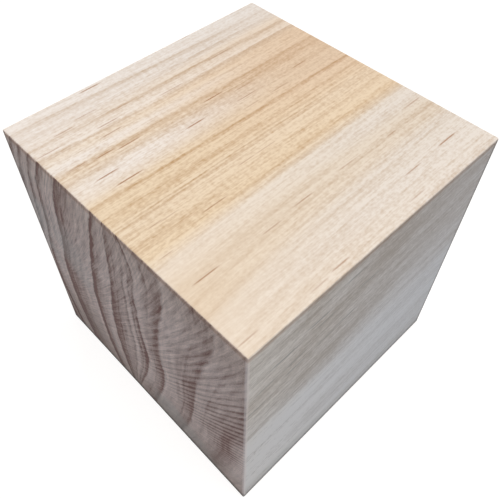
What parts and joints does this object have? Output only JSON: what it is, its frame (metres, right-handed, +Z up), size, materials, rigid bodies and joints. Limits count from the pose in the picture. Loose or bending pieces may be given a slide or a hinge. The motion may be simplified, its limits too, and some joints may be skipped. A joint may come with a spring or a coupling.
{
  "type": "wooden cube",
  "caption": "Plain solid cube of pale softwood with square faces, end grain on two opposite faces and lightly sanded arrises.",
  "frame": {"origin": "centre of the bottom face", "axes": "+Z up, +Y along the grain; the end grain faces -Y and +Y, the long grain faces +X, -X, +Z and -Z"},
  "size_m": [0.1, 0.1, 0.1],
  "materials": {
    "pine": "bare softwood, planed and sanded on the long grain, fine saw marks on the end grain"
  },
  "bodies": {
    "root": {"wooden_cube": "pine"}
  },
  "joints": []
}
